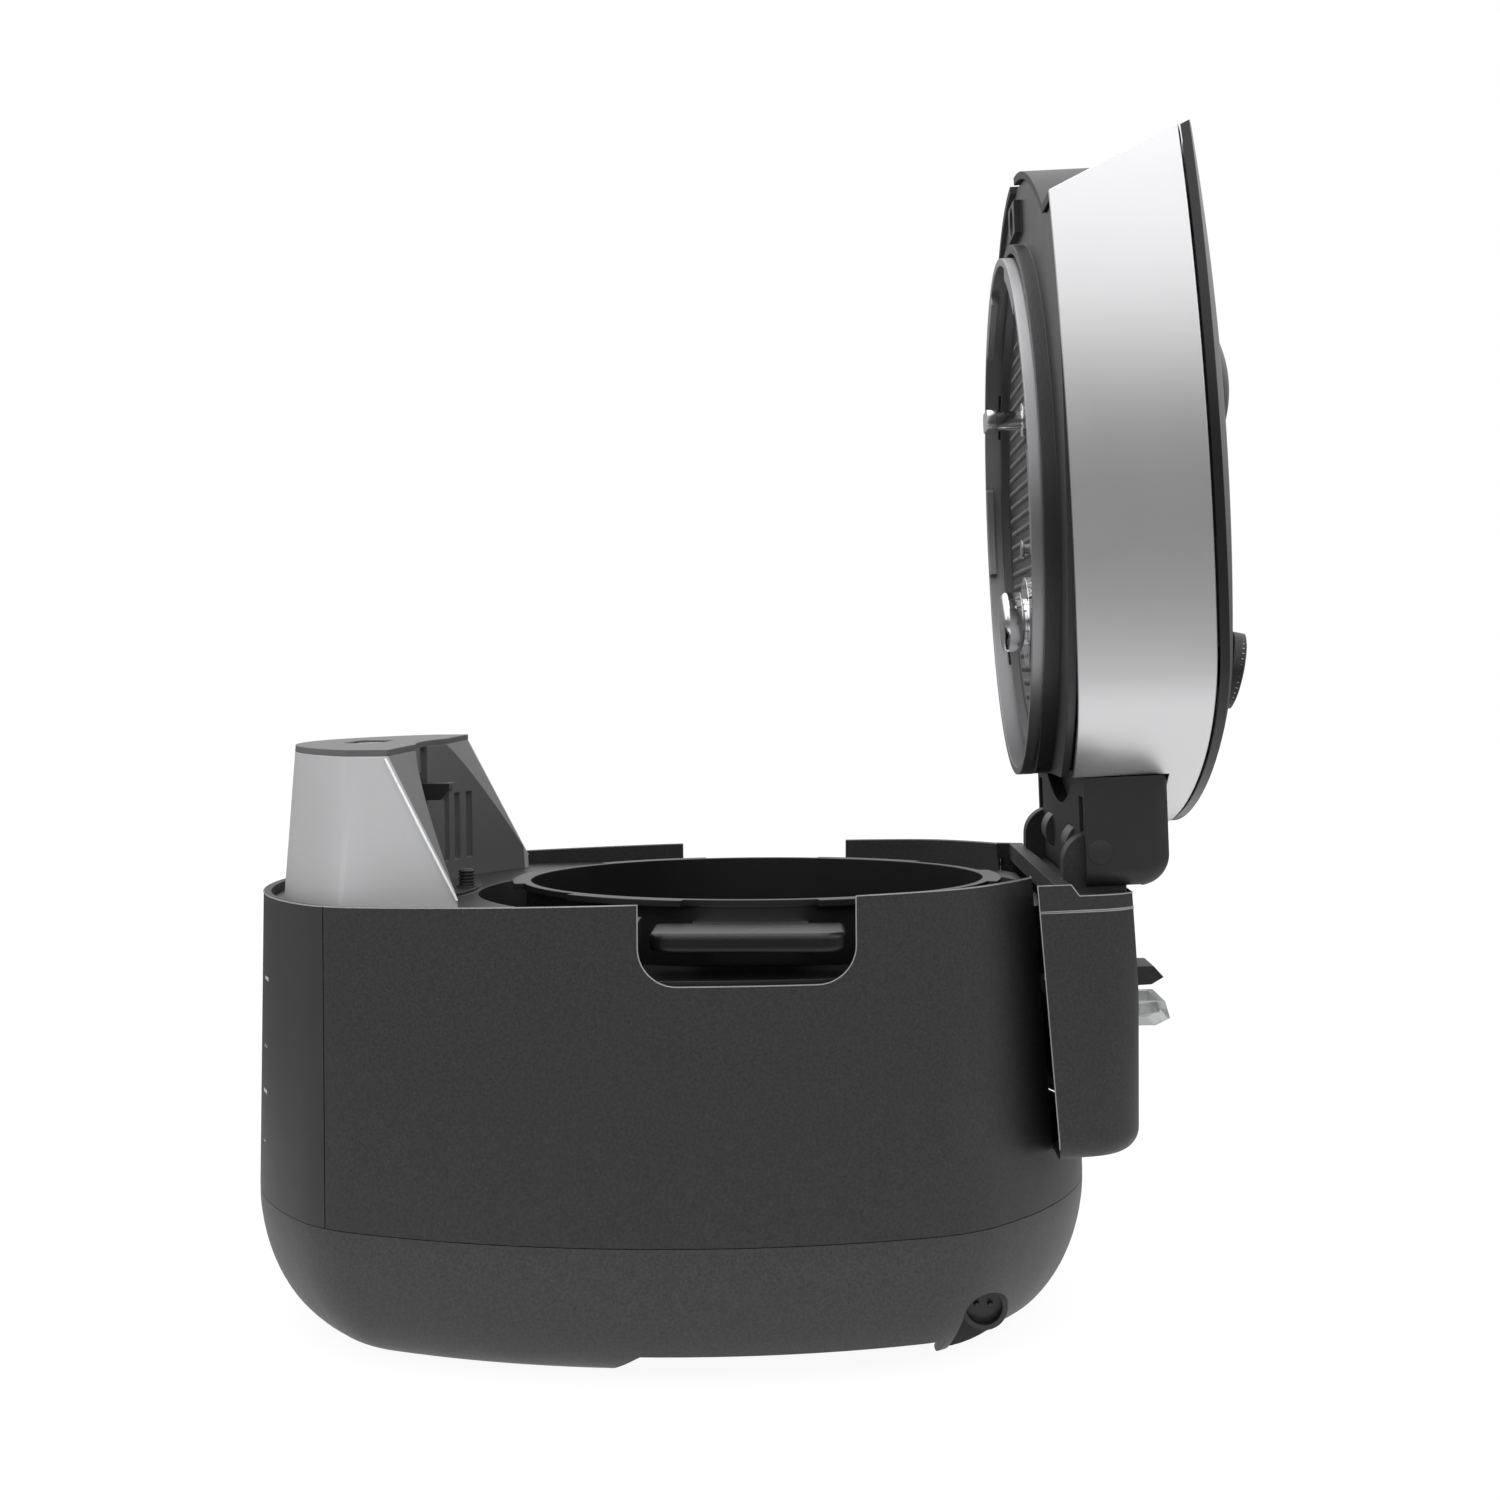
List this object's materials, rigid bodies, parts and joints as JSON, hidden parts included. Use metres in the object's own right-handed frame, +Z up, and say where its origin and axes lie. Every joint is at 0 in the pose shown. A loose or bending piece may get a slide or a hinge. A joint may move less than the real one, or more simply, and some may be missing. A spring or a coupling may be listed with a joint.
{
  "type": "pressure rice cooker",
  "caption": "Countertop pressure rice cooker with a hinged pressure lid, lift-out pot with side grips, front latch tower and rear dew collector.",
  "frame": {"origin": "centre of the pot's axis on the surface the cooker stands on", "axes": "+Z up, -Y is the front with the tower and panel, +X is the cooker's left seen from behind it (right seen from the front)"},
  "size_m": [0.2958, 0.4128, 0.4679],
  "materials": {
    "charcoal_casing": "fine-grain matt charcoal",
    "panel_charcoal": "fine-grain matt charcoal, a little smoother",
    "bowl_charcoal": "fine-grain matt, slightly paler",
    "black_frame": "satin black",
    "dark_grey": "satin dark grey",
    "cap_grey": "satin grey",
    "silver_paint": "satin silver",
    "gloss_black": "gloss black",
    "nonstick": "black non-stick coating on aluminium",
    "grip_black": "textured black",
    "rubber": "black",
    "silicone": "dark grey silicone",
    "steel": "brushed",
    "chrome": "polished",
    "aluminium": "mill finish",
    "plate_dark": "dark dimpled plate",
    "ring_metal": "satin metal",
    "copper": "enamelled winding",
    "ferrite": "ferrite",
    "board_green": "circuit board",
    "clear_plastic": "clear smoke tint",
    "white_plastic": "natural moulding"
  },
  "bodies": {
    "base": {"base_bowl": "bowl_charcoal", "feet": "rubber", "casing_screws": "steel", "side_casing": "charcoal_casing", "front_panel": "panel_charcoal", "upper_frame": "black_frame", "tower_skin": "silver_paint", "tower_liner": "dark_grey", "tower_cap": "cap_grey", "button_spring": "steel", "latch_spring": "steel", "interlock_post": "rubber", "rear_housing": "charcoal_casing", "hinge_cover": "charcoal_casing", "hinge_shaft": "steel", "heat_liner": "aluminium", "pot_cushions": "silicone", "coil_carrier": "white_plastic", "induction_coil": "copper", "ferrite_bars": "ferrite", "sensor_spring": "steel", "sensor_seat": "white_plastic", "fan_frame": "black_frame", "power_board": "board_green", "heat_sink": "aluminium", "board_parts": "black_frame", "control_board": "board_green", "power_inlet": "black_frame"},
    "open_button": {"open_button": "cap_grey"},
    "latch_hook": {"latch_hook": "black_frame"},
    "sensor": {"sensor_plunger": "aluminium"},
    "fan_rotor": {"fan_rotor": "black_frame"},
    "dew_collector": {"dew_collector": "clear_plastic"},
    "pot": {"inner_pot": "nonstick", "pot_grips": "grip_black", "grip_brackets": "steel"},
    "lid": {"lid_band": "silver_paint", "lid_front": "dark_grey", "lid_top_panel": "gloss_black", "lid_cover": "black_frame", "lid_carrier": "steel", "carrier_screws": "steel", "pot_gasket": "silicone", "inner_plate": "plate_dark", "lid_liner": "black_frame", "plate_stem": "chrome", "safety_valve": "chrome", "knob_base": "gloss_black", "pressure_dome": "gloss_black", "steam_duct": "silicone", "lock_solenoid": "steel", "lid_hinge_block": "dark_grey", "hinge_springs": "steel"},
    "lock_ring": {"lock_ring": "ring_metal"},
    "steam_knob": {"steam_knob": "dark_grey", "knob_ring": "chrome"},
    "float_pin": {"float_pin": "steel"}
  },
  "joints": [
    {"name": "lid_hinge", "type": "hinge", "parent": "base", "child": "lid", "pos_m": [0, 0.1335, 0.1918], "axis": [1, 0, 0], "range_deg": [0, 88], "stiffness_Nm_per_rad": 7.9, "springref_deg": 0.13},
    {"name": "pot_lift", "type": "slide", "parent": "base", "child": "pot", "axis": [0, 0, -1], "range_m": [-0.15, 0]},
    {"name": "button_press", "type": "slide", "parent": "base", "child": "open_button", "axis": [0, 0, -1], "range_m": [0, 0.003], "stiffness_N_per_m": 400, "deforming": ["button_spring"]},
    {"name": "hook_slide", "type": "slide", "parent": "base", "child": "latch_hook", "axis": [0, -1, 0], "range_m": [0, 0.004], "deforming": ["latch_spring"]},
    {"name": "sensor_press", "type": "slide", "parent": "base", "child": "sensor", "axis": [0, 0, -1], "range_m": [0, 0.003], "stiffness_N_per_m": 400, "deforming": ["sensor_spring"]},
    {"name": "collector_pull", "type": "slide", "parent": "base", "child": "dew_collector", "axis": [0, 1, 0], "range_m": [0, 0.06]},
    {"name": "fan_spin", "type": "hinge", "parent": "base", "child": "fan_rotor", "pos_m": [0, -0.15, 0.03], "axis": [0, 0, 1], "continuous": true},
    {"name": "lock_turn", "type": "hinge", "parent": "lid", "child": "lock_ring", "pos_m": [0, 0.11505, 0.32474], "axis": [0, 0.9994, 0.0349], "range_deg": [0, 22]},
    {"name": "knob_lift", "type": "slide", "parent": "lid", "child": "steam_knob", "axis": [0, 0.9816, -0.1908], "range_m": [0, 0.0035], "stiffness_N_per_m": 300},
    {"name": "pin_rise", "type": "slide", "parent": "lid", "child": "float_pin", "axis": [0, 0.9994, 0.0349], "range_m": [0, 0.004]}
  ],
  "couplings": [
    {"joint": "hook_slide", "follows": "button_press", "ratio": 1.3333}
  ]
}
